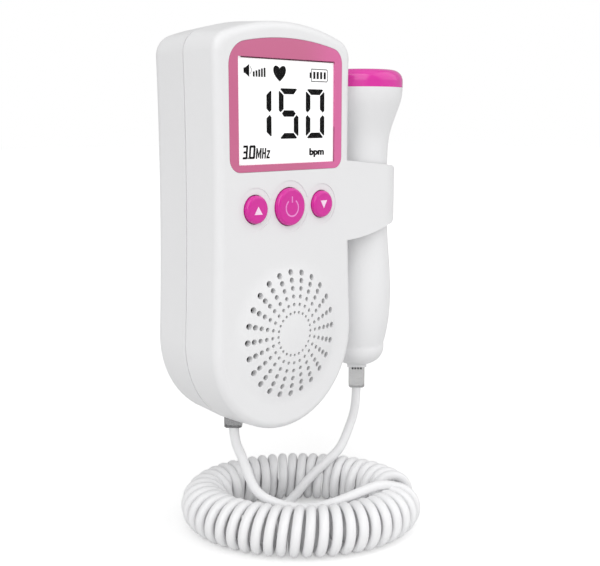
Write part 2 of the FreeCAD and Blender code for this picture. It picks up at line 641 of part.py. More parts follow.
# ---------------------------------------------------------------- fasteners
def housing_screws():
    """Pan head screws with a cross recess."""
    screws = []
    for x, height in SCREWS:
        head = rod(SCREW_HEAD_RADIUS, x, (SCREW_SEAT, SCREW_SEAT + 1.5), height)
        head = fillet(head, 0.5, on_depth(SCREW_SEAT + 1.5))
        shank = rod(SCREW_RADIUS, x, (SCREW_SEAT - SCREW_LENGTH, SCREW_SEAT + 0.1), height)
        screw = fuse(head, shank)
        for across, up in ((1.3, 0.25), (0.25, 1.3)):
            screw = screw.cut(box((x - across, x + across), (SCREW_SEAT + 0.7, SCREW_SEAT + 2),
                                  (height - up, height + up)))
        screws.append(screw)
    return Part.makeCompound(screws)


# ---------------------------------------------------------------- probe
def probe_turned(edges):
    """Turns an outline in the plane of the probe's axis about that axis."""
    face = Part.Face(Part.Wire([e.toShape() for e in edges]))
    return face.revolve(at(PROBE_X, PROBE_DEPTH, 0), ALONG_Z, 360)


def on_probe(radius, height):
    return at(PROBE_X + radius, PROBE_DEPTH, height)


def smooth(points):
    curve = Part.BSplineCurve()
    curve.interpolate(points)
    return curve


# radius and height along the handle: rounded foot, grip, neck in the clip, flare to the head
HANDLE = ((10.1, 20.0), (11.75, 28.5), (12.35, 38.5), (11.75, 51.0), (10.8, 63.0), (10.4, 80.0),
          (10.4, 92.0), (11.05, 98.2), (13.3, 105.4), (14.85, 110.0))


def probe_handle():
    """Hollow grip: closed foot with a hole for the plug, open mouth under the cap."""
    wall = PROBE_WALL
    outside = [on_probe(r, h) for r, h in HANDLE]
    inside = [on_probe(r - wall, h) for r, h in HANDLE]
    foot, floor = 6.2, PROBE_LOW + wall + 0.4
    well = 7.0
    mouth = HEAD_RADIUS - 1.5
    edges = [
        Part.LineSegment(on_probe(0, PROBE_LOW), on_probe(foot, PROBE_LOW)),
        Part.Arc(on_probe(foot, PROBE_LOW), on_probe(9.0, 14.8), outside[0]),
        smooth(outside),
        Part.Arc(outside[-1], on_probe(HEAD_RADIUS - 0.13, 112.3), on_probe(HEAD_RADIUS, CAP_LOW)),
        Part.LineSegment(on_probe(HEAD_RADIUS, CAP_LOW), on_probe(mouth, CAP_LOW)),
        Part.LineSegment(on_probe(mouth, CAP_LOW), on_probe(mouth, CAP_LOW + 2.0)),
        Part.LineSegment(on_probe(mouth, CAP_LOW + 2.0), on_probe(mouth - 1.0, CAP_LOW + 2.0)),
        Part.LineSegment(on_probe(mouth - 1.0, CAP_LOW + 2.0), inside[-1]),
        smooth(list(reversed(inside))),
        Part.LineSegment(inside[0], on_probe(well, floor)),
        Part.LineSegment(on_probe(well, floor), on_probe(0, floor)),
        Part.LineSegment(on_probe(0, floor), on_probe(0, PROBE_LOW)),
    ]
    hole = plug_room(PROBE_X, PROBE_DEPTH, PLUG_GAP + SOCKET_RIM + 0.05, (PROBE_LOW - 1, floor + 2))
    return probe_turned(edges).cut(hole)


def plug_room(x, depth, margin, height):
    """The space of a plug with a margin all round, between two heights."""
    half_width, half_thickness = PLUG_WIDTH / 2 + margin, PLUG_THICKNESS / 2 + margin
    shape = box((x - half_width, x + half_width), (depth - half_thickness, depth + half_thickness),
                height)
    shape.rotate(at(x, depth, 0), ALONG_Z, -PLUG_TURN)
    return shape


def probe_cap():
    """The contact face: a round-edged cup over the crystals."""
    wall, face = 1.4, 1.5
    edge = CAP_ROUNDING * (1 - math.sqrt(0.5))
    inner = HEAD_RADIUS - wall
    edges = [
        Part.LineSegment(on_probe(HEAD_RADIUS, CAP_LOW), on_probe(HEAD_RADIUS, CAP_HIGH - 4.0)),
        Part.Arc(on_probe(HEAD_RADIUS, CAP_HIGH - CAP_ROUNDING),
                 on_probe(HEAD_RADIUS - edge, CAP_HIGH - edge),
                 on_probe(HEAD_RADIUS - CAP_ROUNDING, CAP_HIGH)),
        Part.LineSegment(on_probe(HEAD_RADIUS - CAP_ROUNDING, CAP_HIGH), on_probe(0, CAP_HIGH)),
        Part.LineSegment(on_probe(0, CAP_HIGH), on_probe(0, CAP_HIGH - face)),
        Part.LineSegment(on_probe(0, CAP_HIGH - face), on_probe(inner - 2.4, CAP_HIGH - face)),
        Part.LineSegment(on_probe(inner - 2.4, CAP_HIGH - face), on_probe(inner, CAP_LOW + 2.4)),
        Part.LineSegment(on_probe(inner, CAP_LOW + 2.4), on_probe(inner, CAP_LOW)),
        Part.LineSegment(on_probe(inner, CAP_LOW), on_probe(HEAD_RADIUS, CAP_LOW)),
    ]
    return probe_turned(edges)


def transducer():
    """Two half-round crystals, one to send and one to receive."""
    low, high = CAP_HIGH - 2.4, CAP_HIGH - 1.5
    disc = upright(10.5, PROBE_X, PROBE_DEPTH, (low, high))
    slit = box((PROBE_X - 0.5, PROBE_X + 0.5), (PROBE_DEPTH - 12, PROBE_DEPTH + 12),
               (low - 1, high + 1))
    return Part.makeCompound(disc.cut(slit).Solids)


def crystal_backing():
    return upright(11.5, PROBE_X, PROBE_DEPTH, (CAP_LOW - 2.8, CAP_HIGH - 2.4))


def probe_board():
    board = box((PROBE_X - 6.5, PROBE_X + 6.5), (PROBE_DEPTH - 0.6, PROBE_DEPTH + 0.6), (32, 92))
    chips = [
        box((PROBE_X - 3, PROBE_X + 3), (PROBE_DEPTH + 0.6, PROBE_DEPTH + 2.2), (50, 56)),
        box((PROBE_X - 3, PROBE_X + 3), (PROBE_DEPTH + 0.6, PROBE_DEPTH + 2.2), (68, 74)),
    ]
    return fuse(board, *chips)


# ---------------------------------------------------------------- sockets, plugs and jack
def probe_socket():
    """The cord's socket in the foot of the probe, with a rim that stands out round the plug."""
    floor = PROBE_LOW + PROBE_WALL + 0.4
    high = PROBE_PLUG_LOW + PLUG_LENGTH
    block = plug_room(PROBE_X, PROBE_DEPTH, 1.7, (floor, high + 5.0))
    rim = plug_room(PROBE_X, PROBE_DEPTH, PLUG_GAP + SOCKET_RIM,
                    (PROBE_LOW - SOCKET_RIM_HEIGHT, floor))
    well = plug_room(PROBE_X, PROBE_DEPTH, PLUG_GAP, (0, high + 0.3))
    return fuse(block, rim).cut(well)


def body_socket():
    """The cord's socket in the bottom of the body; its nose follows the body's outline."""
    x, depth = BODY_PLUG_X, BODY_PLUG_DEPTH
    nose = upright(SOCKET_RADIUS, x, depth, (0, 10.0))
    nose = nose.common(deepen(body_outline(depth - SOCKET_RADIUS, 0.8), 2 * SOCKET_RADIUS))
    block = box((x - 5.4, x + 5.4), (depth - 5.2, depth + 5.2), (9.4, 16.2))
    well = plug_room(x, depth, PLUG_GAP, (0, BODY_PLUG_LOW + PLUG_LENGTH + 0.3))
    return fuse(nose, block).cut(well)


def earphone_jack():
    """3.5 mm barrel jack, its mouth in the bottom of the body."""
    x, depth, mouth = EARPHONE_X, EARPHONE_DEPTH, EARPHONE_MOUTH
    collar = upright(2.9, x, depth, (mouth, 9.0))
    block = box((x - 3.5, x + 3.5), (depth - 4.0, depth + 4.0), (8.6, 16.4))
    return fuse(collar, block).cut(upright(EARPHONE_RADIUS, x, depth,
                                           (mouth - 1, mouth + EARPHONE_LENGTH)))


def plug_places():
    """The middles of a plug's four slots, across its front."""
    return [1.05 * (slot - 1.5) for slot in range(4)]


def modular_plug(x, depth, low):
    """A plug with slots for its contacts."""
    front = depth - PLUG_THICKNESS / 2
    body = box((x - PLUG_WIDTH / 2, x + PLUG_WIDTH / 2), (front, front + PLUG_THICKNESS),
               (low, low + PLUG_LENGTH))
    lower = low - ORIGIN_HEIGHT
    body = body.makeChamfer(0.7, [e for e in body.Edges if abs(e.BoundBox.ZMax - lower) < 1e-3])
    for place in plug_places():
        body = body.cut(box((x + place - 0.35, x + place + 0.35), (front - 1, front + 1.4),
                            (low + CONTACT_LOW, low + PLUG_LENGTH - 1.0)))
    body.rotate(at(x, depth, 0), ALONG_Z, -PLUG_TURN)
    return body


def plug_contacts(x, depth, low):
    """The four blades in the slots of a plug."""
    front = depth - PLUG_THICKNESS / 2
    blades = []
    for place in plug_places():
        blades.append(box((x + place - 0.3, x + place + 0.3), (front + 0.15, front + 1.4),
                          (low + CONTACT_LOW + 0.05, low + PLUG_LENGTH - 1.05)))
    contacts = Part.makeCompound(blades)
    contacts.rotate(at(x, depth, 0), ALONG_Z, -PLUG_TURN)
    return contacts


# ---------------------------------------------------------------- cord
def rounded_path(points, name):
    """Straight runs joined by tangent arcs, each as large as its two runs allow."""
    edges = []
    last = points[0]
    radii = []
    for before, corner, after in zip(points, points[1:], points[2:]):
        into, out = corner - before, after - corner
        half_turn = into.getAngle(out) / 2
        reach = 0.45 * min(into.Length, out.Length)
        radius = reach / math.tan(half_turn)
        radii.append(radius)
        into.normalize()
        out.normalize()
        start, end = corner - into * reach, corner + out * reach
        inward = out - into
        inward.normalize()
        middle = corner + inward * (radius / math.cos(half_turn) - radius)
        if (start - last).Length > 1e-6:
            edges.append(Part.LineSegment(last, start).toShape())
        edges.append(Part.Arc(start, middle, end).toShape())
        last = end
    edges.append(Part.LineSegment(last, points[-1]).toShape())
    path = Part.Wire(edges)
    print(f"{name}: {path.Length:.1f} mm long, tightest radius {min(radii):.1f} mm")
    return path


def tube(points, radius, name):
    path = rounded_path(points, name)
    direction = points[1] - points[0]
    ring_wire = Part.Wire(Part.makeCircle(radius, points[0], direction))
    solid = path.makePipeShell([ring_wire], True, False)
    share = solid.Volume / (math.pi * radius**2 * path.Length)
    print(f"{name}: volume over section times length {share:.4f}")
    return solid


def ring_place(angle):
    """A point of the oval on which the curly part lies, from an angle in degrees."""
    turn, around = math.radians(RING_TURN), math.radians(angle)
    along, across = RING_HALF_WIDTH * math.cos(around), RING_HALF_DEPTH * math.sin(around)
    return at(RING_X + along * math.cos(turn) - across * math.sin(turn),
              RING_DEPTH + along * math.sin(turn) + across * math.cos(turn), RING_HEIGHT)


def coil_points():
    step = (RING_END - RING_START) / RING_POINTS
    return [ring_place(RING_START + step * number) for number in range(RING_POINTS + 1)]


# ---------------------------------------------------------------- all sub-parts
def build():
    parts = {
        "front_shell": front_shell(),
        "rear_shell": rear_shell(),
        "battery_door": battery_door(),
        "contact_springs": contact_springs(),
        "contact_plates": contact_plates(),
        "display_lens": display_lens(),
        "display_glass": display_glass(),
        "backlight": backlight(),
        "main_board": main_board(),
        "board_parts": board_parts(),
        "button_switches": button_switches(),
        "speaker_gasket": speaker_gasket(),
        "speaker_frame": speaker_frame(),
        "speaker_cone": speaker_cone(),
        "speaker_magnet": speaker_magnet(),
        "housing_screws": housing_screws(),
        "body_socket": body_socket(),
        "earphone_jack": earphone_jack(),
        "probe_handle": probe_handle(),
        "probe_cap": probe_cap(),
        "transducer": transducer(),
        "crystal_backing": crystal_backing(),
        "probe_board": probe_board(),
        "probe_socket": probe_socket(),
        "body_plug": modular_plug(BODY_PLUG_X, BODY_PLUG_DEPTH, BODY_PLUG_LOW),
        "body_plug_contacts": plug_contacts(BODY_PLUG_X, BODY_PLUG_DEPTH, BODY_PLUG_LOW),
        "probe_plug": modular_plug(PROBE_X, PROBE_DEPTH, PROBE_PLUG_LOW),
        "probe_plug_contacts": plug_contacts(PROBE_X, PROBE_DEPTH, PROBE_PLUG_LOW),
        "cord_body_lead": tube(BODY_LEAD, CORD / 2, "body lead"),
        "cord_probe_lead": tube(PROBE_LEAD, CORD / 2, "probe lead"),
        "cord_coil": tube(coil_points(), COIL_RADIUS, "coil"),
    }
    for name, x, up in CELLS:
        parts[name] = battery_cell(x, up)
    for name, x, radius in BUTTONS:
        parts[name] = button(x, radius)
    return parts


os.makedirs("parts", exist_ok=True)
for node, shape in build().items():
    shape.exportStep(f"parts/{node}.step")
    print(f"{node}: {len(shape.Solids)} solid(s), valid {shape.isValid()}, {shape.Volume:.0f} mm3")
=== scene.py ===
"""Looks of the hand-held fetal doppler monitor: finishes, display, grille, cord, light and camera.

Lengths are in millimetres as x, depth behind the front plane and height above the body's
lowest point, and at() turns them into metres in the part's frame.
"""

import bmesh
import bpy
import math
from mathutils import Matrix, Vector


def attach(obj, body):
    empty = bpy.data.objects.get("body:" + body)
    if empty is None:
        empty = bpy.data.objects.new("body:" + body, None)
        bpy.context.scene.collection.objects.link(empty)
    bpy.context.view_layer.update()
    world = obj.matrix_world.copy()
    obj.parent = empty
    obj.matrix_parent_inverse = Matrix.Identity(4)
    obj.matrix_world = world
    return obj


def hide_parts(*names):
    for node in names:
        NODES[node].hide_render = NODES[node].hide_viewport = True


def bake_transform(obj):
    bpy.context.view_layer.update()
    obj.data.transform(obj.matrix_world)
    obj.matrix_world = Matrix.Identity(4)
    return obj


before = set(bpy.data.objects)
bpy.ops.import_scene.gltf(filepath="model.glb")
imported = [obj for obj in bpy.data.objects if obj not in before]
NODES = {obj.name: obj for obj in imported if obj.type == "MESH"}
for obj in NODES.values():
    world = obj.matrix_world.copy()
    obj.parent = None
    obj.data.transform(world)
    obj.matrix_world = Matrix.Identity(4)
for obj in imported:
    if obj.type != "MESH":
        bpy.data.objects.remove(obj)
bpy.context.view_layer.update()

DEPTH, ORIGIN_HEIGHT = 33.5, 100.0       # origin's distance behind the front, and its height
SHARP = 32                               # an edge that turns by more degrees than this stays sharp
GLOSS_SPREAD, GRAIN_HEIGHT = 0.12, 0.1   # share that the roughness varies by, and the grain's depth

# display
WINDOW = (-20.6, 20.85, 89.6, 122.15)    # left, right, low, high
LENS_THICKNESS, PANE_GAP = 0.6, 0.02
EDGE_START, EDGE_LEFT, EDGE_RIGHT = 1.5, 0.38, 0.42    # painted shadow: a dark line along the window's top, where the lens border shades the panel
PANEL_DEPTH, INK = 0.62, 0.02            # depth of the display's marks, and their thickness
DIGIT_WIDTH, DIGIT_HEIGHT = 8.5, 15.8
RATE_FOOT = 97.35                        # foot of the large digits
UNIT_FOOT, UNIT_LEAN = 91.4, 0.09        # foot of the small marks, and their lean per height
SOUND_FOOT, SOUND_BAR, SOUND_PITCH = 116.3, 0.72, 1.1
CELL_LOW, CELL_HIGH, CELL_BAR = 116.4, 118.65, 0.95
HEART_X, HEART_HEIGHT, HEART_HALF_WIDTH = -3.22, 118.05, 2.7
HEART_ABOVE, HEART_BELOW = 0.163, 0.182  # scales of its upper and lower part
HEART_STEPS, HEART_PINCH = 40, 2.1

# buttons
BUTTON_FRONT, MARK_THICKNESS = -1.4, 0.04

# grille
SPEAKER_HEIGHT, SPEAKER_RIM_BACK = 33.9, 4.7
DOME_RADIUS, DOME_RISE, DOME_BLEND = 85.0, 3.07, 18.0
DOME_FOOT, DOME_JOIN, DOME_WALL = 24.96, 20.6, 2.0
DOME_INSIDE = 22.9                       # radius at which the dome's hollow ends
LIP_WIDTH, LIP_FRONT, LIP_BACK = 0.3, 0.03, 2.1
SPOKES, GRILLE_RINGS = 24, 6
GRILLE_FIRST = 7.2                       # radius of the first ring of holes
GRILLE_WIDTH, GRILLE_HEIGHT = 19.0, 20.6  # half width and half height of the last one
GRILLE_SHIFT = (0.25, -0.3)              # how far the last ring's middle is off the dome's
HOLE_FIRST, HOLE_LAST = 0.5, 1.05        # radii of the holes
HOLE_SIDES, DOME_SIDES, DRILL_LENGTH = 24, 144, 12

# cord
CORD = 3.4
COIL_WIRE_RADIUS = 6.9                   # from the coil's middle line to the middle of the wire
COIL_TURNS, COIL_LENGTH = 45.5, 173.4
TURN_POINTS = 16
INNER_TUCK = 0.33                        # every second turn is this much flatter inside the ring
RING_X, RING_DEPTH, RING_HEIGHT = 12.45, 7.3, -32.15
RING_HALF_WIDTH, RING_HALF_DEPTH = 34.5, 23.5
RING_TURN, RING_START = -43.6, -8.2
WIDE_TURN, WIDE_REACH, WIDER = 9, 6, 0.07    # the turns round the ninth are this much further apart
CORD_STEPS, CORD_SIDES = 4, 6            # fineness of the cord along and round it

BODY_LEAD = [
    (-12.0, 15.0, 0.3),
    (-11.8, 15.0, -5.0),
    (-9.5, 13.9, -10.9),
    (-8.3, 12.3, -17.2),
    (-6.9, 9.3, -24.2),
    (-1.3, 3.2, -28.2),
    (5.3, -4.3, -29.0),
    (12.4, -10.6, -26.7),
    (20.2, -14.9, -23.7),
    (27.4, -17.4, -22.2),
]
COIL_EXIT = [(40.2, -12.2, -39.0), (36.5, -11.4, -39.0)]
PROBE_LEAD = [
    (36.5, -11.4, -39.0),
    (32.8, -10.6, -39.0),
    (25.2, -9.7, -39.0),
    (17.6, -10.3, -39.0),
    (10.2, -8.2, -39.0),
    (3.8, -2.8, -39.0),
    (0.7, 5.2, -39.0),
    (2.4, 13.2, -39.0),
    (8.6, 18.0, -38.7),
    (16.9, 17.4, -36.8),
    (23.2, 15.2, -29.6),
    (29.5, 12.2, -23.7),
    (36.5, 11.0, -19.8),
    (42.9, 12.9, -14.1),
    (47.5, 13.2, -6.2),
    (47.5, 13.2, 2.25),
]

# light, floor and camera; the camera's place and the lamps' distance are in metres
AMBIENT, LAMP_DISTANCE = 0.5, 12.0
SUN_DIRECTION, SUN_STRENGTH, SUN_SPREAD = (0.1, 0.15, -1.0), 0.3, 60
FLOOR_HEIGHT, FLOOR_SIZE = -40.75, 4
FLOOR_LIFT = 0.35                        # the floor's own white, which only the camera sees
CAMERA_PLACE = (-0.19345, -0.24192, 0.00335)
CAMERA_DIP, CAMERA_TURN = 10.51, -43.59  # degrees below the level and from straight ahead
CAMERA_LENS, CAMERA_SENSOR, CAMERA_NEAR = 52.79, 36, 0.01


def at(x, depth, height):
    return Vector((x, depth - DEPTH, height - ORIGIN_HEIGHT)) / 1000


def shown(made):
    """Puts an object into the scene."""
    bpy.context.scene.collection.objects.link(made)
    return made


# ---------------------------------------------------------------- finishes
def colour(red, green, blue):
    """Linear colour from 0 to 255 display values."""
    return [((c / 255 + 0.055) / 1.055) ** 2.4 if c > 10 else c / 3295 for c in (red, green, blue)] + [1]


def finish(name, tint, roughness, grain=0.02, scale=1800, **shader_values):
    """A moulded or coated surface: slight change of gloss and a very fine grain."""
    material = bpy.data.materials.new(name)
    material.use_nodes = True
    nodes, links = material.node_tree.nodes, material.node_tree.links
    shader = nodes["Principled BSDF"]
    shader.inputs["Base Color"].default_value = tint
    for socket, value in shader_values.items():
        shader.inputs[socket.replace("_", " ")].default_value = value
    place = nodes.new("ShaderNodeTexCoord")
    noise = nodes.new("ShaderNodeTexNoise")
    noise.inputs["Scale"].default_value = scale
    noise.inputs["Detail"].default_value = 3
    links.new(place.outputs["Object"], noise.inputs["Vector"])
    gloss = nodes.new("ShaderNodeMapRange")
    gloss.inputs["To Min"].default_value = roughness * (1 - GLOSS_SPREAD)
    gloss.inputs["To Max"].default_value = roughness * (1 + GLOSS_SPREAD)
    links.new(noise.outputs["Fac"], gloss.inputs["Value"])
    links.new(gloss.outputs["Result"], shader.inputs["Roughness"])
    bump = nodes.new("ShaderNodeBump")
    bump.inputs["Strength"].default_value = grain
    bump.inputs["Distance"].default_value = GRAIN_HEIGHT / 1000
    links.new(noise.outputs["Fac"], bump.inputs["Height"])
    links.new(bump.outputs["Normal"], shader.inputs["Normal"])
    return material


def painted_light_across(material, left_tint, right_tint, first, last):
    """Paints a finish's colour from one tint to another between two x values of the body, as painted
    light and shade.
    """
    nodes, links = material.node_tree.nodes, material.node_tree.links
    split, slide, blend = (nodes.new("ShaderNode" + kind) for kind in ("SeparateXYZ", "MapRange", "Mix"))
    slide.interpolation_type = "SMOOTHSTEP"
    slide.inputs["From Min"].default_value = first / 1000
    slide.inputs["From Max"].default_value = last / 1000
    blend.data_type = "RGBA"
    blend.inputs["A"].default_value = left_tint
    blend.inputs["B"].default_value = right_tint
    place = next(node for node in nodes if node.type == "TEX_COORD")
    links.new(place.outputs["Object"], split.inputs["Vector"])
    links.new(split.outputs["X"], slide.inputs["Value"])
    links.new(slide.outputs["Result"], blend.inputs["Factor"])
    links.new(blend.outputs["Result"], nodes["Principled BSDF"].inputs["Base Color"])
    return material


WHITE_SHELL = finish("white_satin_plastic", colour(231, 231, 232), 0.32)
PINK_PLASTIC = finish("pink_gloss_plastic", colour(218, 44, 160), 0.2,
                      Coat_Weight=0.25, Coat_Roughness=0.06)
PINK_BUTTON = finish("pink_button_plastic", colour(210, 22, 153), 0.24,
                     Coat_Weight=0.3, Coat_Roughness=0.1)
# the lens's pink print, with painted light and shade on it: darker on the left, lighter on the right
LENS_PINK_PAINTED_LIGHT = painted_light_across(finish("pink_lens_print_painted_light", colour(209, 105, 152), 0.2),
                          colour(201, 104, 143), colour(218, 106, 161), 4, 24)
CLEAR_PANE = finish("clear_window", colour(4, 4, 4), 0.06, grain=0, Alpha=0.04)
LCD_WHITE = finish("lcd_panel_white", colour(250, 250, 250), 0.5,
                   Emission_Color=colour(255, 255, 255), Emission_Strength=0.34)
LCD_BLACK = finish("lcd_segment_black", colour(12, 11, 13), 0.5, Specular_IOR_Level=0.1)
LCD_GREY = finish("lcd_symbol_grey", colour(104, 104, 104), 0.4)
LCD_PALE = finish("lcd_symbol_pale", colour(176, 176, 178), 0.4)
# painted shadow: a dark strip along the window's top edge, where the lens border shades the panel
WINDOW_TOP_SHADOW = finish("lens_edge_shade", colour(104, 50, 74), 0.5)
SYMBOL_WHITE = finish("white_symbol_print", colour(246, 216, 238), 0.4)
SYMBOL_PALE = finish("pale_symbol_print", colour(234, 142, 210), 0.4)
DIFFUSER = finish("diffuser_sheet", colour(240, 240, 240), 0.6)
BOARD_GREEN = finish("green_circuit_board", colour(38, 92, 60), 0.45)
BLACK_PLASTIC = finish("black_plastic", colour(26, 26, 28), 0.4)
SOCKET_WHITE = finish("white_socket_plastic", colour(232, 232, 233), 0.4)
STEEL = finish("plated_steel", colour(190, 190, 192), 0.3, Metallic=1)
SPEAKER_STEEL = finish("pressed_steel", colour(120, 120, 124), 0.4, Metallic=1)
FERRITE = finish("dark_magnet", colour(50, 50, 54), 0.5)
CONE_PAPER = finish("black_paper_cone", colour(34, 32, 32), 0.8)
GASKET = finish("grey_foam_rubber", colour(72, 72, 74), 0.9)
CELL_CAN = finish("battery_sleeve", colour(58, 92, 132), 0.3)
CERAMIC = finish("cream_ceramic", colour(226, 216, 196), 0.5)
BACKING = finish("dark_backing_rubber", colour(60, 58, 58), 0.8)
PLUG_CLEAR = finish("clear_plug_plastic", colour(222, 222, 222), 0.12, grain=0,
                    Transmission_Weight=0.75, IOR=1.3)
# painted shade: the same clear plug plastic made darker, for the shade the body casts on its plug
PLUG_PAINTED_SHADE = finish("clear_plug_plastic_painted_shade", colour(178, 178, 179), 0.12, grain=0,
                    Transmission_Weight=0.75, IOR=1.3)
# painted shade: the plug contacts are near black, standing for the shade inside the slots they sit in
CONTACT_PAINTED_SHADE = finish("contact_painted_shade", colour(30, 30, 32), 0.35)
CORD_WHITE = finish("white_cord_jacket", colour(236, 236, 237), 0.38)

PLAIN_NODES = {
    "battery_left": (CELL_CAN, "cell_can"),
    "battery_right": (CELL_CAN, "cell_can"),
    "contact_springs": (STEEL, "steel"),
    "contact_plates": (STEEL, "steel"),
    "display_glass": (LCD_WHITE, "lcd_glass"),
    "backlight": (DIFFUSER, "diffuser"),
    "main_board": (BOARD_GREEN, "circuit_board"),
    "board_parts": (BLACK_PLASTIC, "black_plastic"),
    "button_switches": (BLACK_PLASTIC, "black_plastic"),
    "speaker_gasket": (GASKET, "gasket_rubber"),
    "speaker_frame": (SPEAKER_STEEL, "speaker_steel"),
    "speaker_cone": (CONE_PAPER, "speaker_paper"),
    "speaker_magnet": (FERRITE, "magnet_steel"),
    "housing_screws": (STEEL, "steel"),
    "earphone_jack": (BLACK_PLASTIC, "black_plastic"),
    "transducer": (CERAMIC, "ceramic"),
    "crystal_backing": (BACKING, "backing_rubber"),
    "probe_board": (BOARD_GREEN, "circuit_board"),
    "body_plug_contacts": (CONTACT_PAINTED_SHADE, "contact_metal"),
    "probe_plug_contacts": (CONTACT_PAINTED_SHADE, "contact_metal"),
}
for node, (material, _) in PLAIN_NODES.items():
    NODES[node].data.materials.clear()
    NODES[node].data.materials.append(material)


# ---------------------------------------------------------------- making pieces
def piece(name, mesh, material, body):
    """A finished mesh as an object of its own that rides on a body."""
    mesh.name = name
    mesh.materials.clear()
    mesh.materials.append(material)
    made = shown(bpy.data.objects.new(name, mesh))
    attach(made, body)
    return made


def mesh_from(work):
    """Turns a bmesh into a mesh: smooth faces, and sharp edges where it turns by more than SHARP."""
    for face in work.faces:
        face.smooth = True
    for edge in work.edges:
        edge.smooth = edge.calc_face_angle(math.pi) < math.radians(SHARP)
    mesh = bpy.data.meshes.new("made")
    work.to_mesh(mesh)
    work.free()
    if "custom_normal" in mesh.attributes:
        mesh.attributes.remove(mesh.attributes["custom_normal"])
    return mesh


def even_normals(made):
    """Shades a face by its own direction where small faces meet a large one."""
    made.modifiers.new("even_normals", "WEIGHTED_NORMAL").keep_sharp = True


def copied(node):
    """The node's mesh in a bmesh, its doubled points merged."""
    work = bmesh.new()
    work.from_mesh(NODES[node].data)
    bmesh.ops.remove_doubles(work, verts=work.verts, dist=1e-6)
    return work


def dressed(node, material, body):
    """A smooth skin that takes a solid's place."""
    made = piece(node + "_skin", mesh_from(copied(node)), material, body)
    even_normals(made)
    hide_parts(node)
    return made


def finished_mesh(holder):
    """The mesh of an object with its modifiers or bevel; the object itself is removed."""
    shown(holder)
    bpy.context.view_layer.update()
    evaluated = holder.evaluated_get(bpy.context.evaluated_depsgraph_get())
    mesh = bpy.data.meshes.new_from_object(evaluated)
    bpy.data.objects.remove(holder)
    return mesh


def carved(work, cutter):
    """The mesh of a bmesh with another one cut away from it."""
    base = bpy.data.objects.new("base", mesh_from(work))
    tool = shown(bpy.data.objects.new("tool", mesh_from(cutter)))
    cut = base.modifiers.new("cut", "BOOLEAN")
    cut.object = tool
    cut.operation = "DIFFERENCE"
    cut.solver = "EXACT"
    mesh = finished_mesh(base)
    bpy.data.objects.remove(tool)
    result = bmesh.new()
    result.from_mesh(mesh)
    return mesh_from(result)


def block(work, x, depth, height):
    """Adds a box between two x values, two depths and two heights to a bmesh."""
    low, high = at(x[0], depth[0], height[0]), at(x[1], depth[1], height[1])
    size = high - low
    place = Matrix.Translation((low + high) / 2) @ Matrix.Diagonal((*size, 1))
    bmesh.ops.create_cube(work, size=1, matrix=place)


def front_print(name, drawing, depth, material, body, place=Matrix()):
    """Stands a flat drawing, made in x and height, in a plane parallel to the front."""
    mesh = finished_mesh(bpy.data.objects.new(name, drawing))
    mesh.transform(Matrix.Translation(at(0, depth, 0)) @ Matrix.Rotation(math.pi / 2, 4, "X") @ place)
    return piece(name, mesh, material, body)


def outlines(name, shapes, depth, thickness, material, body):
    """Thin print from closed outlines of (x, height); an outline inside another is a hole."""
    drawing = bpy.data.curves.new(name, "CURVE")
    drawing.dimensions = "2D"
    drawing.fill_mode = "BOTH"
    drawing.extrude = thickness / 2000
    for shape in shapes:
        spline = drawing.splines.new("POLY")
        spline.points.add(len(shape) - 1)
        for point, (x, height) in zip(spline.points, shape):
            point.co = (x / 1000, height / 1000, 0, 1)
        spline.use_cyclic_u = True
    return front_print(name, drawing, depth + thickness / 2, material, body)


def arc(x, height, radius, first, last, steps):
    """Points round an arc, angles in degrees from straight up, clockwise."""
    points = []
    for step in range(steps + 1):
        turn = math.radians(first + (last - first) * step / steps)
        points.append((x + radius * math.sin(turn), height + radius * math.cos(turn)))
    return points


# ---------------------------------------------------------------- shells, probe and buttons
def on_grille(face):
    """True for a face of the dome over the speaker or of the rim behind it."""
    axis = at(0, 0, SPEAKER_HEIGHT)
    reach = 0.001 * (DOME_FOOT + 0.01)
    back = at(0, SPEAKER_RIM_BACK, 0).y
    return all(math.hypot(v.co.x, v.co.z - axis.z) < reach and v.co.y < back for v in face.verts)


def ball_cap(radius, reach, steps):
    """Radius and depth of points on a ball about the dome's centre, from the axis out to a reach."""
    turns = [math.asin(reach / radius) * step / steps for step in range(steps + 1)]
    centre = DOME_RADIUS - DOME_RISE
    return [(radius * math.sin(turn), centre - radius * math.cos(turn)) for turn in turns]


def dome_profile():
    """Radius and depth of the dome, from its middle out, under the front and back along its inside."""
    foot_turn = math.asin((DOME_FOOT - DOME_JOIN) / DOME_BLEND)
    foot = [(DOME_FOOT - DOME_BLEND * math.sin(foot_turn * step / 8),
             DOME_BLEND * (math.cos(foot_turn * step / 8) - 1)) for step in range(7, -1, -1)]
    lip = [(DOME_FOOT + LIP_WIDTH, LIP_FRONT), (DOME_FOOT + LIP_WIDTH, LIP_BACK)]
    hollow = ball_cap(DOME_RADIUS - DOME_WALL, DOME_INSIDE, 8)
    return ball_cap(DOME_RADIUS, DOME_JOIN, 16) + foot + lip + hollow[::-1]


def grille_dome():
    work = bmesh.new()
    corners = [work.verts.new(at(radius, depth, SPEAKER_HEIGHT)) for radius, depth in dome_profile()]
    edges = [work.edges.new(pair) for pair in zip(corners, corners[1:])]
    bmesh.ops.spin(work, geom=corners + edges, cent=at(0, 0, SPEAKER_HEIGHT), axis=(0, 1, 0),
                   angle=2 * math.pi, steps=DOME_SIDES, use_merge=True)
    bmesh.ops.remove_doubles(work, verts=work.verts, dist=1e-6)
    bmesh.ops.recalc_face_normals(work, faces=work.faces)
    return work


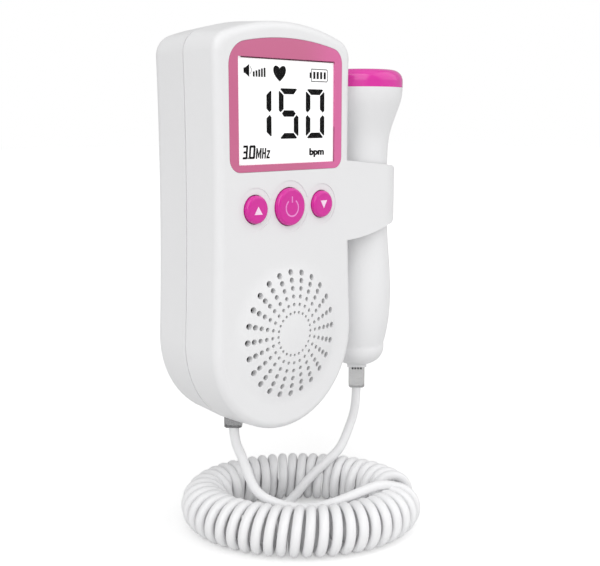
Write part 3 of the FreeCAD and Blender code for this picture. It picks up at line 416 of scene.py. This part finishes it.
def grille_holes():
    work = bmesh.new()
    for ring in range(GRILLE_RINGS):
        share = ring / (GRILLE_RINGS - 1)
        half_width = GRILLE_FIRST + (GRILLE_WIDTH - GRILLE_FIRST) * share
        half_height = GRILLE_FIRST + (GRILLE_HEIGHT - GRILLE_FIRST) * share
        radius = (HOLE_FIRST + (HOLE_LAST - HOLE_FIRST) * share) / 1000
        for spoke in range(SPOKES):
            turn = 2 * math.pi * spoke / SPOKES
            x = GRILLE_SHIFT[0] * share + half_width * math.sin(turn)
            height = SPEAKER_HEIGHT + GRILLE_SHIFT[1] * share + half_height * math.cos(turn)
            place = Matrix.Translation(at(x, 0, height)) @ Matrix.Rotation(math.pi / 2, 4, "X")
            bmesh.ops.create_cone(work, segments=HOLE_SIDES, radius1=radius, radius2=radius,
                                  depth=DRILL_LENGTH / 1000, cap_ends=True, matrix=place)
    return work


def smooth_dome(mesh):
    """Gives the dome's outside the true normals of its curve, which the holes would disturb."""
    axis, ball = at(0, 0, SPEAKER_HEIGHT), at(0, DOME_RADIUS - DOME_RISE, SPEAKER_HEIGHT)
    normals = []
    for face in mesh.polygons:
        for corner in face.vertices:
            place = mesh.vertices[corner].co
            out = place - axis
            out.y = 0
            if face.normal.y > -0.9:         # a hole's wall, the lip or the inside
                normal = face.normal
            elif out.length < DOME_JOIN / 1000:
                normal = place - ball
            else:
                lean = max(0.0, DOME_FOOT / 1000 - out.length)
                normal = out.normalized() * lean - Vector((0, DOME_BLEND / 1000, 0))
            normals.append(normal.normalized())
    mesh.normals_split_custom_set(normals)


front = copied("front_shell")
bmesh.ops.delete(front, geom=[face for face in front.faces if on_grille(face)], context="FACES")
front_skin = piece("front_shell_skin", mesh_from(front), WHITE_SHELL, "housing")
even_normals(front_skin)
dome = piece("speaker_grille", carved(grille_dome(), grille_holes()), WHITE_SHELL,
             "housing")
smooth_dome(dome.data)
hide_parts("front_shell")
dressed("rear_shell", WHITE_SHELL, "housing")
dressed("battery_door", WHITE_SHELL, "battery_door")
dressed("probe_handle", WHITE_SHELL, "probe")
dressed("probe_cap", PINK_PLASTIC, "probe")
dressed("body_socket", SOCKET_WHITE, "housing")
dressed("probe_socket", SOCKET_WHITE, "probe")
for button in ("up_button", "power_button", "down_button"):
    dressed(button, PINK_BUTTON, button)
body_plug = dressed("body_plug", PLUG_PAINTED_SHADE, "housing")
probe_plug = dressed("probe_plug", PLUG_CLEAR, "probe")


def button_mark(name, shapes, material, button):
    outlines(name, shapes, BUTTON_FRONT - MARK_THICKNESS / 2, MARK_THICKNESS, material,
             button)


button_mark("up_mark", [[(-14.2, 76.75), (-12.5, 74.15), (-15.8, 74.25)]], SYMBOL_WHITE, "up_button")
button_mark("down_mark", [[(13.15, 76.95), (16.15, 76.95), (14.65, 74.35)]], SYMBOL_WHITE, "down_button")
power_ring = arc(0.22, 75.4, 2.92, 35, 325, 48) + arc(0.22, 75.4, 2.46, 325, 35, 48)
power_bar = [(0.0, 79.1), (0.45, 79.1), (0.45, 77.1), (0.0, 77.1)]
button_mark("power_mark", [power_ring, power_bar], SYMBOL_PALE, "power_button")


# ---------------------------------------------------------------- display
left, right, low, high = WINDOW
opening = bmesh.new()
block(opening, (left, right), (-1, 2), (low, high))
lens_border = piece("lens_border", carved(copied("display_lens"), opening), LENS_PINK_PAINTED_LIGHT,
                    "housing")
even_normals(lens_border)
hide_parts("display_lens")
pane = bmesh.new()
block(pane, (left, right), (0, LENS_THICKNESS - PANE_GAP), (low, high))
piece("lens_window", mesh_from(pane), CLEAR_PANE, "housing")

# Segments of a large digit, as (x, height) from its lower left corner.
TOP = [(0.65, 15.45), (1.0, 15.75), (7.5, 15.75), (7.85, 15.45), (6.35, 13.95), (2.35, 13.95)]
UPPER = [(0.0, 14.75), (0.3, 14.95), (2.05, 13.6), (2.05, 9.35), (0.75, 8.3), (0.0, 8.95)]
MIDDLE = [(1.3, 7.95), (2.25, 8.95), (6.35, 8.95), (7.3, 7.95), (6.35, 6.95), (2.2, 6.95)]

# Small figures and letters, as shares of their width and height.
THREE = [
    (0.0, 0.0), (0.05, 0.16), (0.62, 0.16), (0.62, 0.42), (0.12, 0.42), (0.12, 0.58), (0.62, 0.58),
    (0.62, 0.84), (0.05, 0.84), (0.0, 1.0), (0.88, 1.0), (1.0, 0.93), (1.0, 0.54), (0.92, 0.5),
    (1.0, 0.46), (1.0, 0.07), (0.88, 0.0),
]
ZERO = [
    (0.0, 0.07), (0.0, 0.93), (0.12, 1.0), (0.88, 1.0), (1.0, 0.93), (1.0, 0.07), (0.88, 0.0),
    (0.12, 0.0),
]
ZERO_ROOM = [(0.3, 0.17), (0.3, 0.83), (0.68, 0.83), (0.68, 0.17)]
CAPITAL_M = [
    (0.0, 0.0), (0.0, 1.0), (0.25, 1.0), (0.5, 0.45), (0.75, 1.0), (1.0, 1.0), (1.0, 0.0),
    (0.75, 0.0), (0.75, 0.62), (0.58, 0.1), (0.42, 0.1), (0.25, 0.62), (0.25, 0.0),
]
CAPITAL_H = [
    (0.0, 0.0), (0.0, 1.0), (0.34, 1.0), (0.34, 0.6), (0.66, 0.6), (0.66, 1.0), (1.0, 1.0),
    (1.0, 0.0), (0.66, 0.0), (0.66, 0.42), (0.34, 0.42), (0.34, 0.0),
]
SMALL_Z = [
    (0.0, 0.0), (0.0, 0.22), (0.55, 0.79), (0.06, 0.79), (0.06, 1.0), (1.0, 1.0), (1.0, 0.78),
    (0.45, 0.21), (1.0, 0.21), (1.0, 0.0),
]


def flipped(segment, across, over):
    """The same segment on the other side of the digit, at its other end, or both."""
    return [(DIGIT_WIDTH - x if across else x, DIGIT_HEIGHT - height if over else height)
            for x, height in segment]


SEGMENTS = {
    "a": TOP,
    "b": flipped(UPPER, True, False),
    "c": flipped(UPPER, True, True),
    "d": flipped(TOP, False, True),
    "e": flipped(UPPER, False, True),
    "f": UPPER,
    "g": MIDDLE,
}


def digit(lit, x):
    return [[(x + across, RATE_FOOT + up) for across, up in SEGMENTS[letter]] for letter in lit]


def small_mark(shape, x, width, height):
    return [(x + width * across + UNIT_LEAN * height * up, UNIT_FOOT + height * up)
            for across, up in shape]


def lcd(name, shapes, material=LCD_BLACK):
    return outlines(name, shapes, PANEL_DEPTH, INK, material, "housing")


def bar(x, low, high, width):
    return [(x, low), (x, high), (x + width, high), (x + width, low)]


def lettering(name, text, x, height, size, stretch, weight):
    """A unit on the display, in plain letters that are stretched sideways and made bolder."""
    drawing = bpy.data.curves.new(name, "FONT")
    drawing.body = text
    drawing.size = size / 1000
    drawing.offset = weight / 1000
    drawing.extrude = INK / 2000
    place = Matrix.Translation((x / 1000, height / 1000, 0)) @ Matrix.Diagonal((stretch, 1, 1, 1))
    return front_print(name, drawing, PANEL_DEPTH + INK / 2, LCD_BLACK, "housing", place)


def heart():
    points = []
    for step in range(HEART_STEPS):
        turn = 2 * math.pi * step / HEART_STEPS
        across = math.copysign(abs(math.sin(turn))**HEART_PINCH, math.sin(turn))
        rise = (13.5 * math.cos(turn) - 4.2 * math.cos(2 * turn)
                - 2 * math.cos(3 * turn) - 0.6 * math.cos(4 * turn))
        points.append((HEART_X + HEART_HALF_WIDTH * across,
                       HEART_HEIGHT + (HEART_ABOVE if rise > 0 else HEART_BELOW) * rise))
    return points


# painted shadow of the lens border along the window's top edge
lcd("window_top_painted_shadow", [[(left + EDGE_START, high), (right, high), (right, high - EDGE_RIGHT),
                     (left + EDGE_START, high - EDGE_LEFT)]], WINDOW_TOP_SHADOW)
lcd("rate_digits", digit("bc", -15.27) + digit("acdfg", -3.64) + digit("abcdef", 8.15))
lcd("frequency", [
    small_mark(THREE, -18.75, 1.95, 4.2),
    small_mark(bar(0, 0, 1, 1), -16.7, 0.38, 0.5),
    small_mark(ZERO, -16.25, 2.5, 4.2),
    small_mark(ZERO_ROOM, -16.25, 2.5, 4.2),
    small_mark(CAPITAL_M, -13.4, 2.2, 3.3),
    small_mark(CAPITAL_H, -10.9, 1.6, 3.3),
    small_mark(SMALL_Z, -9.0, 1.4, 2.6),
])
lettering("rate_unit", "bpm", 9.75, 92.05, 2.9, 1.33, 0.16)
lcd("sound_mark", [[(-17.95, 117.35), (-17.95, 118.8), (-17.25, 118.95), (-15.7, 120.0),
                    (-15.7, 116.1), (-17.25, 117.2)]])
lcd("sound_level", [bar(-14.25 + SOUND_PITCH * number, SOUND_FOOT, top, SOUND_BAR)
                    for number, top in enumerate((117.85, 118.2, 118.5, 118.85, 119.1))])
lcd("heart_mark", [heart()])
battery_nub = bar(9.85, 116.6, 118.4, 0.75)
lcd("battery_level", [bar(x, CELL_LOW, CELL_HIGH, CELL_BAR) for x in (11.5, 13.05, 14.65, 16.3)]
    + [battery_nub])
battery_edge = [(10.55, 115.45), (10.55, 119.6), (17.7, 119.6), (18.2, 119.1), (18.2, 115.9),
                (17.7, 115.45)]
battery_room = [(10.85, 115.75), (10.85, 119.3), (17.55, 119.3), (17.9, 118.95), (17.9, 116.1),
                (17.55, 115.75)]
lcd("battery_outline", [battery_edge, battery_room], LCD_GREY)
sound_wave = arc(-16.3, 118.2, 1.6, 42, 138, 10) + arc(-16.3, 118.2, 1.3, 138, 42, 10)
lcd("sound_waves", [sound_wave], LCD_PALE)


# ---------------------------------------------------------------- cord
def coil_route():
    """Turns of the wire round the oval middle line of the curly part, from its start to its end."""
    turn = math.radians(RING_TURN)
    cos_turn, sin_turn = math.cos(turn), math.sin(turn)
    radius = COIL_WIRE_RADIUS / math.cos(math.pi / TURN_POINTS)    # the spline passes inside its points
    count = round(COIL_TURNS * TURN_POINTS)
    around = math.radians(RING_START)
    points = []
    for number in range(count + 1):
        along, across = RING_HALF_WIDTH * math.cos(around), RING_HALF_DEPTH * math.sin(around)
        slope = (RING_HALF_WIDTH * math.sin(around), RING_HALF_DEPTH * math.cos(around))
        speed = math.hypot(*slope)
        wind = math.pi / 2 - 2 * math.pi * number / TURN_POINTS
        tuck = INNER_TUCK * (number // TURN_POINTS % 2) * max(0.0, -math.cos(wind))**2
        out, up = radius * (1 - tuck) * math.cos(wind), radius * math.sin(wind)
        along += out * slope[1] / speed
        across += out * slope[0] / speed
        points.append((RING_X + along * cos_turn - across * sin_turn,
                       RING_DEPTH + along * sin_turn + across * cos_turn, RING_HEIGHT + up))
        near = min(1.0, abs(number / TURN_POINTS - WIDE_TURN) / WIDE_REACH)
        around -= COIL_LENGTH / count / speed * (1 + WIDER * (1 + math.cos(math.pi * near)) / 2)
    return points


def route(name, points, thickness):
    """A smooth round cord along a list of places."""
    line = bpy.data.curves.new(name, "CURVE")
    line.dimensions = "3D"
    spline = line.splines.new("NURBS")
    spline.points.add(len(points) - 1)
    for point, place in zip(spline.points, points):
        point.co = (*at(*place), 1)
    spline.order_u = 3
    spline.use_endpoint_u = True
    spline.resolution_u = CORD_STEPS
    line.bevel_depth = thickness / 2000
    line.bevel_resolution = CORD_SIDES
    line.use_fill_caps = True
    return line


curly_route = BODY_LEAD + coil_route() + COIL_EXIT
curly = shown(bpy.data.objects.new("curly_cord", route("curly_cord", curly_route, CORD)))
curly.data.materials.append(CORD_WHITE)
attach(curly, "housing")
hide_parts("cord_body_lead", "cord_coil")

lead_line = finished_mesh(bpy.data.objects.new("line", route("line", PROBE_LEAD, 0)))
lead_tube = finished_mesh(bpy.data.objects.new("tube", route("tube", PROBE_LEAD, CORD)))
probe_lead = shown(bpy.data.objects.new("probe_lead", lead_tube))
probe_lead.data.materials.append(CORD_WHITE)
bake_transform(probe_lead)
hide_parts("cord_probe_lead")


# ---------------------------------------------------------------- light, floor and camera
def soft_box(name, bearing, width, low, high, brightness):
    """A far rectangular lamp: bearing from -Y towards -X, width, and lower and upper edge in degrees."""
    turn, rise = math.radians(bearing), math.radians((low + high) / 2)
    lamp = bpy.data.lights.new(name, "AREA")
    lamp.shape = "RECTANGLE"
    lamp.size = 2 * LAMP_DISTANCE * math.tan(math.radians(width / 2))
    lamp.size_y = 2 * LAMP_DISTANCE * math.tan(math.radians((high - low) / 2))
    lamp.energy = brightness * math.pi * lamp.size * lamp.size_y
    holder = shown(bpy.data.objects.new(name, lamp))
    holder.location = LAMP_DISTANCE * Vector((-math.sin(turn) * math.cos(rise),
                                              -math.cos(turn) * math.cos(rise), math.sin(rise)))
    holder.rotation_euler = (-holder.location).to_track_quat("-Z", "Y").to_euler()


def surroundings():
    """White where the camera looks straight at it, and an even grey light elsewhere."""
    world = bpy.data.worlds.new("studio")
    bpy.context.scene.world = world
    world.use_nodes = True
    nodes, links = world.node_tree.nodes, world.node_tree.links
    nodes.clear()
    seen, fill = nodes.new("ShaderNodeBackground"), nodes.new("ShaderNodeBackground")
    seen.inputs["Color"].default_value = (1, 1, 1, 1)
    seen.inputs["Strength"].default_value = 1
    fill.inputs["Color"].default_value = (1, 1, 1, 1)
    fill.inputs["Strength"].default_value = AMBIENT
    path = nodes.new("ShaderNodeLightPath")
    mix = nodes.new("ShaderNodeMixShader")
    out = nodes.new("ShaderNodeOutputWorld")
    links.new(path.outputs["Is Camera Ray"], mix.inputs["Fac"])
    links.new(fill.outputs["Background"], mix.inputs[1])
    links.new(seen.outputs["Background"], mix.inputs[2])
    links.new(mix.outputs["Shader"], out.inputs["Surface"])


def pale_floor():
    """A matt pale floor that looks white where no shadow falls on it."""
    material = finish("pale_floor", colour(232, 232, 232), 0.9, grain=0, scale=40, Specular_IOR_Level=0)
    nodes, links = material.node_tree.nodes, material.node_tree.links
    lift, mix, path = (nodes.new("ShaderNode" + kind) for kind in ("Emission", "AddShader", "LightPath"))
    links.new(path.outputs["Is Camera Ray"], lift.inputs["Strength"])
    lift.inputs["Color"].default_value = (FLOOR_LIFT, FLOOR_LIFT, FLOOR_LIFT, 1)
    links.new(nodes["Principled BSDF"].outputs["BSDF"], mix.inputs[0])
    links.new(lift.outputs["Emission"], mix.inputs[1])
    links.new(mix.outputs["Shader"], nodes["Material Output"].inputs["Surface"])
    return material


def sun():
    """A weak and very wide light from above."""
    lamp = bpy.data.lights.new("sun", "SUN")
    lamp.energy = SUN_STRENGTH
    lamp.angle = math.radians(SUN_SPREAD)
    holder = shown(bpy.data.objects.new("sun", lamp))
    holder.rotation_euler = Vector(SUN_DIRECTION).to_track_quat("-Z", "Y").to_euler()


surroundings()
sun()
soft_box("left_soft_box", 54, 50, 5, 65, 1.73)
soft_box("right_soft_box", -42, 60, 5, 60, 0.87)

floor_work = bmesh.new()
bmesh.ops.create_grid(floor_work, x_segments=1, y_segments=1, size=FLOOR_SIZE,
                      matrix=Matrix.Translation((0, 0, at(0, 0, FLOOR_HEIGHT).z)))
floor_mesh = mesh_from(floor_work)
floor_mesh.materials.append(pale_floor())
floor = shown(bpy.data.objects.new("floor", floor_mesh))

camera_data = bpy.data.cameras.new("camera")
camera_data.sensor_width = CAMERA_SENSOR
camera_data.lens = CAMERA_LENS
camera_data.clip_start = CAMERA_NEAR
camera = shown(bpy.data.objects.new("camera", camera_data))
camera.location = CAMERA_PLACE
camera.rotation_euler = (math.radians(90 - CAMERA_DIP), 0, math.radians(CAMERA_TURN))
bpy.context.scene.camera = camera
bpy.context.scene.view_settings.view_transform = "Standard"
